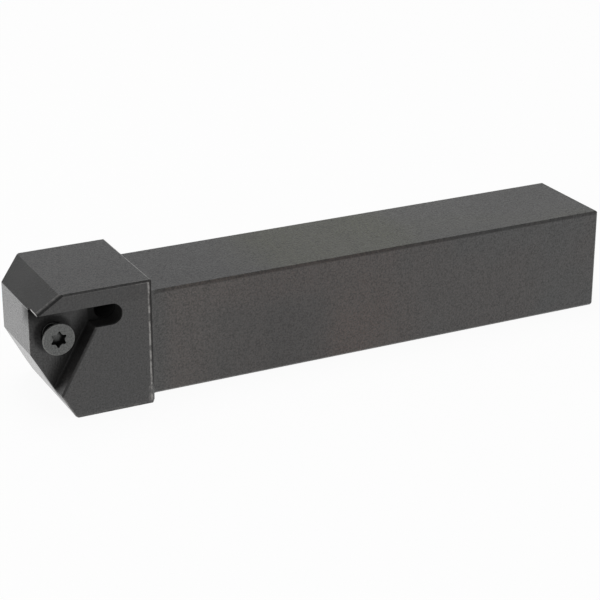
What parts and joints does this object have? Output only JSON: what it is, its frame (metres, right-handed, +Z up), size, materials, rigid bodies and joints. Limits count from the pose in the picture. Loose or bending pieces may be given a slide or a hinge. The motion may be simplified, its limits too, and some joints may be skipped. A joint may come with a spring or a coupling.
{
  "type": "turning tool holder",
  "caption": "Square-shank lathe tool holder with a taller head, an open pocket for a three-cornered insert, a relief slot and a countersunk clamping screw.",
  "frame": {"origin": "centre of the overall box, in plan, at the base that the holder rests on", "axes": "+X along the shank, from the head to the rear end; +Y from the front, where the insert is screwed on, to the back; +Z up"},
  "size_m": [0.1124, 0.0222, 0.0224],
  "materials": {
    "black_steel": "milled steel, black-oxide finished, fine satin grain",
    "screw_steel": "dark hardened steel, slightly worn bright at the edges"
  },
  "bodies": {
    "holder": {"holder_body": "black_steel"},
    "screw": {"insert_screw": "screw_steel"}
  },
  "joints": [
    {"name": "screw_travel", "type": "slide", "parent": "holder", "child": "screw", "axis": [0, -1, 0], "range_m": [-0.0012, 0.0079]}
  ]
}
